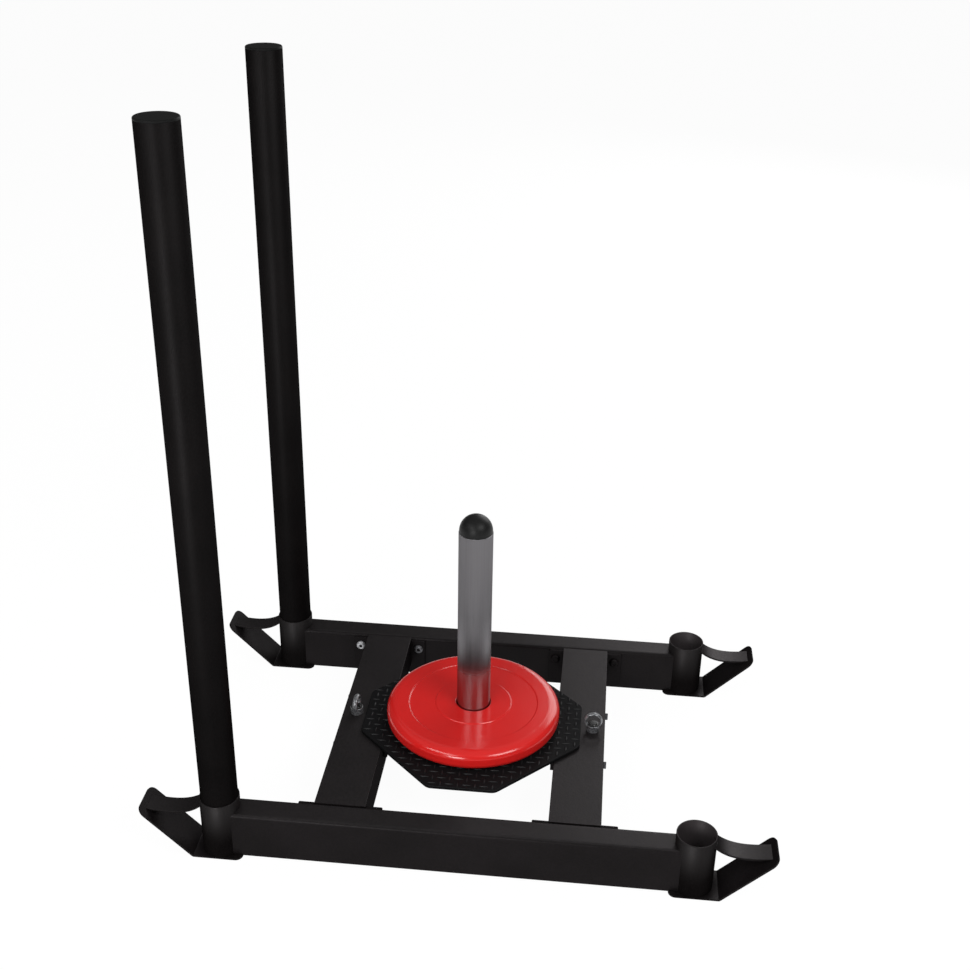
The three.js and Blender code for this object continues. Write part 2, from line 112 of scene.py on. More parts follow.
# A pair of values as the two ends of what a range is carried from or to
def span(way, pair, unit=1):
    return {way + " Min": pair[0] * unit, way + " Max": pair[1] * unit}


# Most of a noise's values lie between these two
noiseRange = (0.3, 0.7)


# What a grain gives a shader: a roughness that follows it, and a normal tipped by its relief or by another's
def grained(tree, p, grain, relief=None):
    rough = addNode(tree, "ShaderNodeMapRange",
                    {"Value": grain, **span("From", noiseRange), **span("To", p["roughness"])})
    bump = addNode(tree, "ShaderNodeBump",
                   {"Strength": p["bump"], "Distance": p["depth"] * mm, "Height": grain, **(relief or {})})
    return {"Roughness": rough, "Normal": bump}


# A matte body under a thin sheen that is added to it
def sheenOver(tree, body, sheen, surface):
    matte = addNode(tree, "ShaderNodeBsdfDiffuse", {"Color": body, "Normal": surface["Normal"]})
    gloss = addNode(tree, "ShaderNodeBsdfAnisotropic", {"Color": sheen, **surface})
    return addNode(tree, "ShaderNodeAddShader", {0: matte, 1: gloss})


powder = {
    "dark": "#0d0b0b",
    "light": "#181516",
    "peelSize": 4.0,
    "speckSize": 1.9,
    "cloudSize": 70.0,
    "speckInTone": 0.8,
    "speckInRelief": 0.35,
    "toneFrom": (0.6, 1.2),
    "roughness": (0.34, 0.48),
    "facing": (0.78, 0.96),
    "sheen": (0.0092, 0.039),
    "tint": (1.0, 0.95, 0.965),
    "bump": 0.3,
    "depth": 0.4,
    "lean": None,
    "bore": None,
    "paintedShade": None,
    "socketAt": (330.85, 235.5),
}
# On the sockets the sheen is cut towards the foot, painted shade, and the shading normal leans up towards the
# rim, a painted highlight.
tubePowder = dict(powder, dark="#0a0808", light="#131111", roughness=(0.46, 0.56), sheen=(0.024, 0.028),
                  lean={"zone": (22, 86), "lift": (0.1, 0.5), "paintedShadeAtFoot": 0.04},
                  # The bore's paler tone is painted light inside the socket.
                  bore={"radius": 27.2, "tone": "#302c2d"})
# Round a socket's foot the shoe's sheen is cut down: painted shade.
shoePowder = dict(powder, paintedShade={"zone": (28, 52), "low": 0.12})
# The poles get the same painted shade towards the foot and painted highlight higher up.
polePowder = dict(powder, dark="#070606", light="#0f0d0d", roughness=(0.43, 0.53), sheen=(0.0068, 0.02),
                  lean={"zone": (0, 700), "lift": (0.14, 0.27), "paintedShadeAtFoot": 0.4})
dullPowder = dict(powder, sheen=(0.0075, 0.010))


def powderCoat(tree, p):
    # Polyester powder coat, sprayed dry and baked on steel: a near-black body under a thin satin sheen,
    # with fine orange peel and specks. Powder flows out smoother on faces that lie flat in the oven, so
    # those shine more. The real peel is about 1 mm, too fine to show, so it is drawn 4 mm long and the
    # specks 1.9 mm. On the tubes the sheen is cut towards the foot, painted shade, and the shading normal
    # leans up towards the rim, a painted highlight. A socket's bore is painted a paler grey, painted light.
    # Round a socket's foot the shoe's sheen is cut down, painted shade.
    where = addNode(tree, "ShaderNodeTexCoord").outputs["Object"]
    normal = addNode(tree, "ShaderNodeNewGeometry").outputs["Normal"]
    peel, speck, cloud = (
        addNode(tree, "ShaderNodeTexNoise", {"Vector": where, "Scale": 1000 / p[size], "Detail": detail})
        for size, detail in (("peelSize", 3), ("speckSize", 1), ("cloudSize", 4)))
    grain = addNode(tree, "ShaderNodeMath",
                    {0: speck, 1: p["speckInTone"], 2: cloud}, operation="MULTIPLY_ADD")
    share = addNode(tree, "ShaderNodeMapRange", {"Value": grain, **span("From", p["toneFrom"])})
    body = addNode(tree, "ShaderNodeMix",
                   {0: share, 6: tone(p["dark"]), 7: tone(p["light"])}, data_type="RGBA")
    facing = addNode(tree, "ShaderNodeSeparateXYZ", {"Vector": normal}).outputs["Z"]
    strength = addNode(tree, "ShaderNodeMapRange",
                       {"Value": facing, **span("From", p["facing"]), **span("To", p["sheen"])})
    if p["bore"] or p["paintedShade"]:
        # How far a point stands from the axis of the nearest socket
        socketX, socketY = p["socketAt"]
        mirrored = addNode(tree, "ShaderNodeVectorMath", {0: where}, operation="ABSOLUTE")
        flat = addNode(tree, "ShaderNodeVectorMath",
                       {0: mirrored, 1: (1, 1, 0), 2: (-socketX * mm, -socketY * mm, 0)},
                       operation="MULTIPLY_ADD")
        out = addNode(tree, "ShaderNodeVectorMath", {0: flat}, operation="LENGTH")
    # Painted shade: round the nearest socket's foot the sheen is cut down.
    if p["paintedShade"]:
        paintedShade = p["paintedShade"]
        clearOfPaintedShade = addNode(tree, "ShaderNodeMapRange",
                          {"Value": out, **span("From", paintedShade["zone"], mm), "To Min": paintedShade["low"]},
                          interpolation_type="SMOOTHSTEP")
        strength = addNode(tree, "ShaderNodeMath", {0: strength, 1: clearOfPaintedShade}, operation="MULTIPLY")
    # Painted light: the bore is painted a paler grey than the coat.
    if p["bore"]:
        inside = addNode(tree, "ShaderNodeMath", {0: out, 1: p["bore"]["radius"] * mm}, operation="LESS_THAN")
        body = addNode(tree, "ShaderNodeMix",
                       {0: inside, 6: body, 7: tone(p["bore"]["tone"])}, data_type="RGBA")
    # Painted shade and highlight: the sheen is cut towards the foot and the shading normal leans up towards
    # the top.
    if p["lean"]:
        lean = p["lean"]
        height = addNode(tree, "ShaderNodeSeparateXYZ", {"Vector": where}).outputs["Z"]
        climb = {"Value": height, **span("From", lean["zone"], mm)}
        paintedShadeAtFoot = addNode(tree, "ShaderNodeMapRange",
                       {**climb, "To Min": lean["paintedShadeAtFoot"]}, interpolation_type="SMOOTHSTEP")
        strength = addNode(tree, "ShaderNodeMath", {0: strength, 1: paintedShadeAtFoot}, operation="MULTIPLY")
        lift = addNode(tree, "ShaderNodeMapRange", {**climb, **span("To", lean["lift"])})
        upward = addNode(tree, "ShaderNodeCombineXYZ", {"Z": lift})
        leaning = addNode(tree, "ShaderNodeVectorMath", {0: normal, 1: upward}, operation="ADD")
        normal = addNode(tree, "ShaderNodeVectorMath", {0: leaning}, operation="NORMALIZE")
    relief = addNode(tree, "ShaderNodeMath",
                     {0: speck, 1: p["speckInRelief"], 2: peel}, operation="MULTIPLY_ADD")
    sheen = addNode(tree, "ShaderNodeVectorMath", {"Vector": p["tint"], "Scale": strength}, operation="SCALE")
    return sheenOver(tree, body, sheen, grained(tree, p, speck, {"Height": relief, "Normal": normal}))


tread = {
    "ground": "#131314",
    # The bars' paler tone is a painted highlight.
    "bar": "#232325",
    "barZone": (78.7, 79.5),
    "grainSize": 2.4,
    "roughness": (0.32, 0.5),
    "sheen": (0.010, 0.030),
    "bump": 0.4,
    "depth": 0.4,
}


def treadCoat(tree, p):
    # Rolled tread plate under the same black powder: darker in the hollows, and the raised bars painted
    # paler with more sheen, a painted highlight.
    where = addNode(tree, "ShaderNodeTexCoord").outputs["Object"]
    up = addNode(tree, "ShaderNodeSeparateXYZ", {"Vector": where}).outputs["Z"]
    grain = addNode(tree, "ShaderNodeTexNoise",
                    {"Vector": where, "Scale": 1000 / p["grainSize"], "Detail": 3.0})
    onBar = addNode(tree, "ShaderNodeMapRange", {"Value": up, **span("From", p["barZone"], mm)})
    # Painted highlight: the raised bars are painted paler than the hollows.
    rubbed = addNode(tree, "ShaderNodeMath", {0: onBar, 1: grain}, operation="MULTIPLY")
    colour = addNode(tree, "ShaderNodeMix",
                     {0: rubbed, 6: tone(p["ground"]), 7: tone(p["bar"])}, data_type="RGBA")
    sheen = addNode(tree, "ShaderNodeMapRange", {"Value": onBar, **span("To", p["sheen"])})
    return sheenOver(tree, colour, sheen, grained(tree, p, grain))


chrome = {
    "dark": "#6f6d6f",
    "light": "#888689",
    "rubbed": {"zone": (172, 181), "dark": "#9a989a", "light": "#b8b6b8", "roughness": 0.26},
    "paintedLightAtFoot": {"zone": (180, 275), "foot": 1.7},
    "streakWidth": 2.4,
    "streakStretch": 0.01,
    "roughness": (0.34, 0.46),
    "anisotropy": 0.95,
    "edgeTint": 0.6,
    "bump": 0.08,
    "depth": 0.2,
}


def chromePlate(tree, p):
    # Hard chrome on drawn tube: a dim mirror. The fine lines that drawing leaves along it spread
    # reflections round the tube and keep them sharp along it, and show as faint upright streaks. Discs have
    # rubbed its foot to a bright, clear mirror. Just above that, the colour is painted brighter towards the
    # foot, painted light.
    rubbed, paintedLightAtFoot = p["rubbed"], p["paintedLightAtFoot"]
    where = addNode(tree, "ShaderNodeTexCoord").outputs["Object"]
    along = addNode(tree, "ShaderNodeMapping", {"Vector": where, "Scale": (1, 1, p["streakStretch"])})
    streak = addNode(tree, "ShaderNodeTexNoise",
                     {"Vector": along, "Scale": 1000 / p["streakWidth"], "Detail": 4.0})
    height = addNode(tree, "ShaderNodeSeparateXYZ", {"Vector": where}).outputs["Z"]
    satin = addNode(tree, "ShaderNodeMapRange", {"Value": height, **span("From", rubbed["zone"], mm)})
    # Painted light: the drawn part's colour is made brighter towards the foot.
    lower = addNode(tree, "ShaderNodeMapRange",
                    {"Value": height, **span("From", paintedLightAtFoot["zone"], mm), "To Min": paintedLightAtFoot["foot"]})
    plain, bright = (
        addNode(tree, "ShaderNodeMix",
                {0: streak, 6: tone(part["dark"]), 7: tone(part["light"])}, data_type="RGBA")
        for part in (p, rubbed))
    lit = addNode(tree, "ShaderNodeVectorMath", {"Vector": plain, "Scale": lower}, operation="SCALE")
    around = addNode(tree, "ShaderNodeVectorMath", {0: (0, 0, 1), 1: where}, operation="CROSS_PRODUCT")
    metal = {"Metallic": 1.0, "Specular Tint": (p["edgeTint"],) * 3 + (1,), **grained(tree, p, streak)}
    drawn = addNode(tree, "ShaderNodeBsdfPrincipled",
                    {**metal, "Base Color": lit, "Anisotropic": p["anisotropy"], "Tangent": around})
    mirror = addNode(tree, "ShaderNodeBsdfPrincipled",
                     {**metal, "Base Color": bright, "Roughness": rubbed["roughness"]})
    return addNode(tree, "ShaderNodeMixShader", {0: satin, 1: mirror, 2: drawn})


zinc = {
    "dark": "#58585a",
    "light": "#9c9da0",
    "toneFrom": (0.35, 0.65),
    "spangleSize": 3.0,
    "spangleRoughness": 0.6,
    "roughness": (0.24, 0.36),
    "metal": 0.5,
    "bump": 0.03,
    "depth": 0.3,
    "paintedShade": None,
}
# The collar's flat top is painted darker: painted shade under the ring.
collarZinc = dict(zinc, dark="#48484a", light="#7e7f82", paintedShade={"zone": (84.0, 84.4), "tone": "#1c1c1c"})
dullZinc = dict(zinc, dark="#3c3c3e", light="#6c6c70", roughness=(0.32, 0.45))
# A paler zinc for one rear bolt: painted light.
litBoltZinc = dict(zinc, dark="#a8a8ab", light="#c8c9cc", roughness=(0.32, 0.4))


def zincPlate(tree, p):
    # Bright zinc plate on forged and turned steel: a shine broken by small mottles, half hidden under the
    # pale bloom that zinc grows in use. It dulls to grey on screws. One rear bolt of each pair is painted
    # paler, painted light. On the collar's flat top the zinc is painted darker from a height up, painted
    # shade.
    where = addNode(tree, "ShaderNodeTexCoord").outputs["Object"]
    mottle = addNode(tree, "ShaderNodeTexNoise",
                     {"Vector": where, "Scale": 1000 / p["spangleSize"], "Detail": 4.0,
                      "Roughness": p["spangleRoughness"]})
    share = addNode(tree, "ShaderNodeMapRange", {"Value": mottle, **span("From", p["toneFrom"])})
    colour = addNode(tree, "ShaderNodeMix",
                     {0: share, 6: tone(p["dark"]), 7: tone(p["light"])}, data_type="RGBA")
    # Painted shade: above a height the colour is darkened.
    if p["paintedShade"]:
        paintedShade = p["paintedShade"]
        height = addNode(tree, "ShaderNodeSeparateXYZ", {"Vector": where}).outputs["Z"]
        paintedShadeShare = addNode(tree, "ShaderNodeMapRange", {"Value": height, **span("From", paintedShade["zone"], mm)},
                          interpolation_type="SMOOTHSTEP")
        colour = addNode(tree, "ShaderNodeMix",
                         {0: paintedShadeShare, 6: colour, 7: tone(paintedShade["tone"])}, data_type="RGBA")
    return addNode(tree, "ShaderNodeBsdfPrincipled",
                   {"Base Color": colour, "Metallic": p["metal"], **grained(tree, p, mottle)})


enamel = {
    "deep": "#d4201e",
    "bright": "#dc2220",
    "flowSize": 55.0,
    "peelSize": 9.0,
    "roughness": (0.15, 0.2),
    "bump": 0.03,
    "depth": 0.5,
}


def redEnamel(tree, p):
    # Gloss red enamel, sprayed wet on a cast weight: clear reflections that waver slightly where the paint
    # flowed.
    where = addNode(tree, "ShaderNodeTexCoord").outputs["Object"]
    flow = addNode(tree, "ShaderNodeTexNoise",
                   {"Vector": where, "Scale": 1000 / p["flowSize"], "Detail": 3.0})
    peel = addNode(tree, "ShaderNodeTexNoise",
                   {"Vector": where, "Scale": 1000 / p["peelSize"], "Detail": 2.0})
    colour = addNode(tree, "ShaderNodeMix",
                     {0: flow, 6: tone(p["deep"]), 7: tone(p["bright"])}, data_type="RGBA")
    return addNode(tree, "ShaderNodeBsdfPrincipled", {"Base Color": colour, **grained(tree, p, peel)})


plastic = {
    "dark": "#131313",
    "light": "#1a1a1a",
    "grainSize": 1.8,
    "roughness": (0.38, 0.48),
    "specular": 0.2,
    "bump": 0.06,
    "depth": 0.3,
}
dryPlastic = dict(plastic, dark="#111111", light="#171717", roughness=(0.5, 0.6), specular=0.08)


def mouldedPlastic(tree, p):
    # Moulded black polyethylene: smooth and a little waxy, with the faint grain of the mould. The poles'
    # caps, which hands rub over, are drier.
    where = addNode(tree, "ShaderNodeTexCoord").outputs["Object"]
    grain = addNode(tree, "ShaderNodeTexNoise",
                    {"Vector": where, "Scale": 1000 / p["grainSize"], "Detail": 3.0})
    colour = addNode(tree, "ShaderNodeMix",
                     {0: grain, 6: tone(p["dark"]), 7: tone(p["light"])}, data_type="RGBA")
    return addNode(tree, "ShaderNodeBsdfPrincipled",
                   {"Base Color": colour, "Specular IOR Level": p["specular"], **grained(tree, p, grain)})


finishes = {
    "black_coat": makeMaterial("satinBlackPowderCoat", powderCoat, powder),
    "socket_coat": makeMaterial("satinPowderCoatOnSocket", powderCoat, tubePowder),
    "shoe_coat": makeMaterial("satinPowderCoatOnShoe", powderCoat, shoePowder),
    "pole_coat": makeMaterial("satinPowderCoatOnPole", powderCoat, polePowder),
    "flange_coat": makeMaterial("dullBlackPowderCoat", powderCoat, dullPowder),
    "tread_coat": makeMaterial("coatedTreadPlate", treadCoat, tread),
    "chrome_plate": makeMaterial("chromedDrawnTube", chromePlate, chrome),
    "zinc_plate": makeMaterial("brightZincPlate", zincPlate, zinc),
    "collar_zinc": makeMaterial("zincPlateWithPaintedShade", zincPlate, collarZinc),
    "bolt_zinc": makeMaterial("dulledZincPlate", zincPlate, dullZinc),
    "lit_bolt_zinc": makeMaterial("paleZincPaintedLit", zincPlate, litBoltZinc),
    "red_enamel": makeMaterial("glossRedEnamel", redEnamel, enamel),
    "black_plastic": makeMaterial("mouldedBlackPlastic", mouldedPlastic, plastic),
    "cap_plastic": makeMaterial("dryBlackPlastic", mouldedPlastic, dryPlastic),
}
print("finishes made:", len(finishes))


# Surfaces
# A surface is its points, its quads and its flat end faces, all in mm. Rows of points that stand close
# beside a rounding hold the flat beyond it flat.
holdGap = 1
sharpAngle = 32


# Quads between neighbouring points of a grid; a wrap joins the last row or column to the first
def gridQuads(rows, columns, wrapRows=False, wrapColumns=False):
    i = np.arange(rows if wrapRows else rows - 1)[:, None]
    j = np.arange(columns if wrapColumns else columns - 1)[None, :]
    nextI, nextJ = (i + 1) % rows, (j + 1) % columns
    corners = [i * columns + j, i * columns + nextJ, nextI * columns + nextJ, nextI * columns + j]
    return np.stack(np.broadcast_arrays(*corners), -1).reshape(-1, 4)


# An arc in the plane: centre + radius (cos a, sin a), for a from one angle to the other in degrees
def arc(centre, radius, start, end, steps=6):
    a = np.radians(np.linspace(start, end, steps + 1))
    return np.asarray(centre, float) + radius * np.stack([np.cos(a), np.sin(a)], -1)


# A profile of radius r and height z turned about Z: x = r cos t, y = r sin t. Where hexShare is 1 the
# radius is a hexagon's, r cos 30 / cos(t mod 60 - 30), which has the same corners.
def turned(profile, sides=96, hexShare=0.0, closed=False):
    profile = np.asarray(profile, float)
    t = np.arange(sides) * 2 * math.pi / sides
    hexagon = math.cos(math.pi / 6) / np.cos(t % (math.pi / 3) - math.pi / 6)
    share = np.broadcast_to(np.asarray(hexShare, float), len(profile))[:, None]
    radius = profile[:, :1] * (1 - share + share * hexagon)
    height = np.broadcast_to(profile[:, 1:], radius.shape)
    points = np.stack([radius * np.cos(t), radius * np.sin(t), height], -1).reshape(-1, 3)
    return points, gridQuads(len(profile), sides, closed, True), []


# A ring in XZ: an ellipse of half sizes thick (across the ring) and deep (along Y) carried round a circle
def ring(middle, thick, deep, around=72, across=20):
    u = np.arange(around)[:, None] * 2 * math.pi / around
    v = np.arange(across)[None, :] * 2 * math.pi / across
    reach = middle + thick * np.cos(v)
    points = np.stack([reach * np.cos(u), deep * np.sin(v) + 0 * u, reach * np.sin(u)], -1)
    return points.reshape(-1, 3), gridQuads(around, across, True, True), []


# A convex outline with rounded corners: each arc's centre is the corner less r (n1 + n2) / (1 + n1.n2),
# with n1 and n2 the outward normals of its two sides, and a point holds the side just before and after each
# arc. Gives points and normals, counter-clockwise.
def roundedLoop(corners, radius, steps=6, hold=0.4):
    c = np.asarray(corners, float)
    ahead = np.roll(c, -1, axis=0) - c
    ahead /= np.linalg.norm(ahead, axis=1, keepdims=True)
    back = np.roll(ahead, 1, axis=0)
    n1 = np.stack([back[:, 1], -back[:, 0]], -1)
    n2 = np.stack([ahead[:, 1], -ahead[:, 0]], -1)
    centre = c - radius * (n1 + n2) / (1 + (n1 * n2).sum(1, keepdims=True))
    start = np.arctan2(n1[:, 1], n1[:, 0])
    sweep = np.mod(np.arctan2(n2[:, 1], n2[:, 0]) - start, 2 * math.pi)
    t = start[:, None] + sweep[:, None] * np.linspace(0, 1, steps + 1)
    normals = np.stack([np.cos(t), np.sin(t)], -1)
    arcs = centre[:, None] + radius * normals
    before, after = arcs[:, :1] - hold * back[:, None], arcs[:, -1:] + hold * ahead[:, None]
    points = np.concatenate([before, arcs, after], 1)
    normals = np.concatenate([normals[:, :1], normals, normals[:, -1:]], 1)
    return points.reshape(-1, 2), normals.reshape(-1, 2)


def oblong(width, height):
    x, y = width / 2, height / 2
    return [(x, -y), (x, y), (-x, y), (-x, -y)]


# A flat plate: at each rim the outline draws in by e (1 - sin a) while it climbs e (1 - cos a). With a
# bore, the last two rows are its circle, each point in the direction of the outline's.
def plate(corners, radius, low, high, edge=0.7, bore=None):
    points, normals = roundedLoop(corners, radius)
    a = np.linspace(0, math.pi / 2, 4)
    inset, rise = edge * (1 - np.sin(a)), edge * (1 - np.cos(a))
    held = [edge + holdGap / 2]
    inset = np.concatenate([held, inset, inset[::-1], held])
    z = np.concatenate([[low], low + rise, high - rise[::-1], [high]])
    flat = points[None] - inset[:, None, None] * normals[None]
    if bore:
        way = points / np.linalg.norm(points, axis=1, keepdims=True)
        flat = np.concatenate([flat, [bore * way, bore * way]])
        z = np.append(z, [high, low])
    rows, columns = flat.shape[:2]
    height = np.broadcast_to(z[:, None, None], (rows, columns, 1))
    solid = np.concatenate([flat, height], -1).reshape(-1, 3)
    below, above = np.arange(columns)[::-1], np.arange(columns) + (rows - 1) * columns
    return solid, gridQuads(rows, columns, bool(bore), True), [] if bore else [below, above]


# A tube of any section along X: the outer ring from end to end, then the inner ring back. Each end is one X
# for every point of its ring.
def hollowBar(outer, inner, outerEnds, innerEnds):
    rows = [(outer, outerEnds[0]), (outer, outerEnds[1]), (inner, innerEnds[1]), (inner, innerEnds[0])]
    x = np.stack([np.broadcast_to(end, len(section)) for section, end in rows])
    section = np.stack([section for section, _ in rows])
    points = np.concatenate([x[..., None], section], -1).reshape(-1, 3)
    return points, gridQuads(4, len(outer), True, True), []


# A surface turned by degrees about its own X, Y and Z, then shifted
def moved(surface, at=(0, 0, 0), turn=(0, 0, 0)):
    points, quads, caps = surface
    spin = np.array(Euler([math.radians(a) for a in turn]).to_matrix())
    return points @ spin.T + np.asarray(at, float), quads, caps


# Joins points that fall together, as at a pole, and drops the corners that a face then repeats
def welded(points, quads, caps):
    keys = np.round(points * 1000).astype(np.int64)
    _, first, inverse = np.unique(keys, axis=0, return_index=True, return_inverse=True)
    inverse = inverse.reshape(-1)
    quads = inverse[quads]
    repeated = quads == np.roll(quads, -1, axis=1)
    whole = quads[~repeated.any(axis=1)]
    once = repeated.sum(axis=1) == 1
    thirds = quads[once][~repeated[once]].reshape(-1, 3)
    return points[first], whole.tolist() + thirds.tolist() + [inverse[cap].tolist() for cap in caps]


# One mesh of one or more surfaces at a place, with the CAD node it stands in for, its slot, its body, its
# finish where that isn't its slot's, and its edges shaded sharp or bevelled
def addPiece(name, surfaces, stands, slot="black_coat", body="frame", at=(0, 0, 0), turn=(0, 0, 0),
             finish=None, bevel=0.0, sharp=sharpAngle):
    points, faces, count = [], [], 0
    for surface in surfaces:
        own, ownFaces = welded(*moved(surface, at, turn))
        points.append(own)
        faces += [[corner + count for corner in face] for face in ownFaces]
        count += len(own)
    mesh = bpy.data.meshes.new(name)
    mesh.from_pydata(np.concatenate(points) * mm, [], faces)
    mesh.shade_smooth()
    mesh.set_sharp_from_angle(angle=math.radians(sharp))
    mesh.materials.append(finishes[finish or slot])
    piece = bpy.data.objects.new(name, mesh)
    bpy.context.scene.collection.objects.link(piece)
    if bevel:
        rim = piece.modifiers.new("softEdge", "BEVEL")
        rim.width = bevel * mm
        rim.segments = 2
        rim.limit_method = "ANGLE"
        rim.angle_limit = math.radians(sharpAngle)
    even = piece.modifiers.new("evenShading", "WEIGHTED_NORMAL")
    even.keep_sharp = not bevel
    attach(piece, body)
    if stands:
        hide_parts(stands)


sides = {"left": 1, "right": -1}
ends = {"front": 1, "rear": -1}


# Each corner's node tag, its title in a piece's name, and the signs of its X and Y
def cornerTags():
    return [(f"{end}_{side}", end.title() + side.title(), ends[end], sides[side])
            for end in ends for side in sides]


# Rails
rail = {
    "width": 40,
    "height": 73.5,
    "wall": 3,
    "corner": 5.5,
    "middleY": 235.5,
    "socketX": 330.85,
    "copeRadius": 28.0,
    "notchX": 297.55,
    "notchHeight": 3.3,
    "notchRows": 6,
}


# Section of the rail: corner centres + radius (cos a, sin a), with a row of points over the top. Each end
# is coped to the socket, X - sqrt(cope^2 - across^2), and the lowest rows, up to the notch's height, are
# cut back over the shoe.
def makeRails(r):
    notchAngle = math.degrees(math.asin(1 - r["notchHeight"] / r["corner"]))
    lower = np.array([-90, -78, -65, -50, -36, -notchAngle, -notchAngle, -12, 0])
    upper = np.linspace(0, 90, 8)
    over = np.linspace(1, -1, 13)[1:-1]
    angle = np.radians(np.concatenate([lower, upper, 90 + 0 * over, 90 + upper, 180 - lower[::-1]]))
    share = np.concatenate([1 + 0 * lower, 1 + 0 * upper, over, -1 + 0 * upper, -1 + 0 * lower])
    level = np.concatenate([-1 + 0 * lower, 1 + 0 * upper, 1 + 0 * over, 1 + 0 * upper, -1 + 0 * lower])
    notched = np.arange(len(angle))
    notched = (notched < r["notchRows"]) | (notched >= len(angle) - r["notchRows"])

    def section(radius):
        across = share * (r["width"] / 2 - r["corner"]) + radius * np.cos(angle)
        up = r["height"] / 2 + level * (r["height"] / 2 - r["corner"]) + radius * np.sin(angle)
        reach = r["socketX"] - np.sqrt(r["copeRadius"] ** 2 - across ** 2)
        return np.stack([across, up], -1), np.where(notched, r["notchX"], reach)

    outer, outerEnd = section(r["corner"])
    inner, innerEnd = section(r["corner"] - r["wall"])
    bar = hollowBar(outer, inner, (-outerEnd, outerEnd), (-innerEnd, innerEnd))
    for side, sign in sides.items():
        addPiece("rail" + side.title(), [bar], f"rail_{side}", at=(0, sign * r["middleY"], 0))


makeRails(rail)
print("rails made")


# Sockets
socket = {
    "x": 330.85,
    "y": 235.5,
    "outer": 28.1,
    "inner": 26.4,
    "foot": 3.0,
    "top": 91.3,
    "rim": 0.6,
}


# A thin tube: the profile goes up outside, over the rounded rim and down inside
def makeSockets(s):
    outside = arc((s["outer"] - s["rim"], s["top"] - s["rim"]), s["rim"], 0, 90, 3)
    inside = arc((s["inner"] + s["rim"], s["top"] - s["rim"]), s["rim"], 90, 180, 3)
    profile = [(s["outer"], s["foot"]), *outside, *inside, (s["inner"], s["foot"])]
    tube = turned(profile, closed=True)
    for tag, title, end, side in cornerTags():
        addPiece("socket" + title, [tube], f"socket_{tag}", at=(end * s["x"], side * s["y"], 0),
                 finish="socket_coat")


# A piece that is drawn round the origin for the front end, set round each corner's socket
def addAtSockets(name, surface, **more):
    for tag, title, end, side in cornerTags():
        addPiece(name + title, [surface], f"{name}_{tag}", at=(end * socket["x"], side * socket["y"], 0),
                 turn=(0, 0, 0 if end > 0 else 180), **more)


makeSockets(socket)
print("sockets made")


# Shoes
shoe = {
    "width": 57,
    "thickness": 3,
    "heel": 33,
    "bend": 37,
    "bendRadius": 5,
    "heelCorner": 10,
    "ramp": 104.8,
    "tipCorner": 12,
    "softEdge": 0.6,
}


# A strip bent up by 45 degrees. Rows run from heel to tip: x = -heel + c (1 - cos a) and half width
# w - c + c sin a at the heel's corners, the same at the tip's, and an arc of 45 degrees at the bend.
def makeShoes(s):
    half, thick = s["width"] / 2, s["thickness"]
    quarter = np.radians(np.linspace(0, 90, 9))
    bendStart = s["bend"] - s["bendRadius"] * math.tan(math.pi / 8)
    heelX = -s["heel"] + s["heelCorner"] * (1 - np.cos(quarter))
    heelHalf = half - s["heelCorner"] * (1 - np.sin(quarter))
    heelWay = np.stack([heelX, 0 * heelX], -1)
    turn = np.radians(np.linspace(0, 45, 7))
    bendWay = np.stack([bendStart + s["bendRadius"] * np.sin(turn), s["bendRadius"] * (1 - np.cos(turn))], -1)
    tipAlong = s["ramp"] - s["tipCorner"] * (1 - np.sin(quarter))
    tipHalf = half - s["tipCorner"] * (1 - np.cos(quarter))
    slope = math.sqrt(0.5)
    tipWay = np.stack([s["bend"] + slope * tipAlong, slope * tipAlong], -1)
    lower = np.concatenate([heelWay, bendWay, tipWay])
    lean = np.concatenate([0 * heelX, turn, math.pi / 4 + 0 * tipAlong])
    upper = lower + thick * np.stack([-np.sin(lean), np.cos(lean)], -1)
    reach = np.concatenate([heelHalf, half + 0 * turn, tipHalf])
    rows = len(lower)
    corners = [(lower, -1), (upper, -1), (upper, 1), (lower, 1)]
    grid = np.stack([np.stack([way[:, 0], sign * reach, way[:, 1]], -1) for way, sign in corners], 1)
    first, last = np.arange(4), np.arange(4)[::-1] + 4 * (rows - 1)
    strip = grid.reshape(-1, 3), gridQuads(rows, 4, False, True)[:, ::-1], [first, last]
    addAtSockets("shoe", strip, bevel=s["softEdge"], finish="shoe_coat")


makeShoes(shoe)
print("shoes made")


# Straps over the tow loops
strap = {
    "width": 30,
    "thickness": 3,
    "top": 80.3,
    "wallRadius": 28.0,
    "inset": 8.8,
    "rootAngle": 37,
    "tipAngle": 9.7,
    "handles": (0.23, 0.55),
    "runOut": 25,
    "tipHalf": 30,
    "softEdge": 0.5,
}


